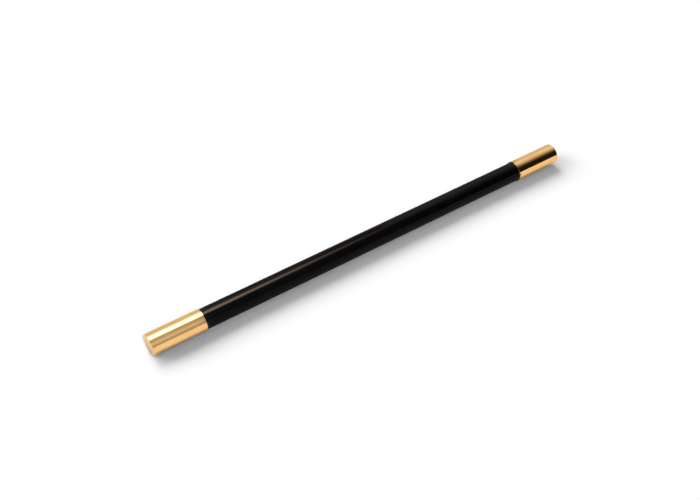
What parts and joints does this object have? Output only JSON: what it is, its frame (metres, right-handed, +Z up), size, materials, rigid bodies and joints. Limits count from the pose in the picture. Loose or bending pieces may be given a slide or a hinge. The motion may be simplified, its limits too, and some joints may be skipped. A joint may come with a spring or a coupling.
{
  "type": "magician's wand",
  "caption": "Straight gloss black stage wand with a polished gold screw-on tip on each end, for conjuring and pretend play.",
  "frame": {"origin": "on the surface that the wand lies on, under the middle of its length", "axes": "+X along the wand towards the far tip, +Z up from the surface"},
  "size_m": [0.3, 0.0136, 0.0137],
  "materials": {
    "black_gloss": "glossy extruded black plastic",
    "gold": "polished and lacquered drawn brass",
    "turned_aluminium": "plain turned",
    "zinc_steel": "zinc plated, threaded",
    "red_fibre": "pressed fibre sheet, punched"
  },
  "bodies": {
    "shaft": {"shaft_tube": "black_gloss", "near_plug": "turned_aluminium", "near_stud": "zinc_steel", "far_plug": "turned_aluminium", "far_stud": "zinc_steel"},
    "near_washer": {"near_washer": "red_fibre"},
    "near_tip": {"near_cap": "gold", "near_core": "turned_aluminium"},
    "far_washer": {"far_washer": "red_fibre"},
    "far_tip": {"far_cap": "gold", "far_core": "turned_aluminium"}
  },
  "joints": [
    {"name": "near_tip_turn", "type": "hinge", "parent": "shaft", "child": "near_washer", "pos_m": [-0.125, 0, 0.00683], "axis": [-1, 0, 0], "range_deg": [0, 4320]},
    {"name": "near_tip_travel", "type": "slide", "parent": "near_washer", "child": "near_tip", "axis": [-1, 0, 0], "range_m": [0, 0.01201]},
    {"name": "far_tip_turn", "type": "hinge", "parent": "shaft", "child": "far_washer", "pos_m": [0.125, 0, 0.00683], "axis": [1, 0, 0], "range_deg": [0, 4320]},
    {"name": "far_tip_travel", "type": "slide", "parent": "far_washer", "child": "far_tip", "axis": [1, 0, 0], "range_m": [0, 0.01201]}
  ],
  "couplings": [
    {"joint": "near_tip_travel", "follows": "near_tip_turn", "m_per_rad": 0.00015915},
    {"joint": "far_tip_travel", "follows": "far_tip_turn", "m_per_rad": 0.00015915}
  ]
}
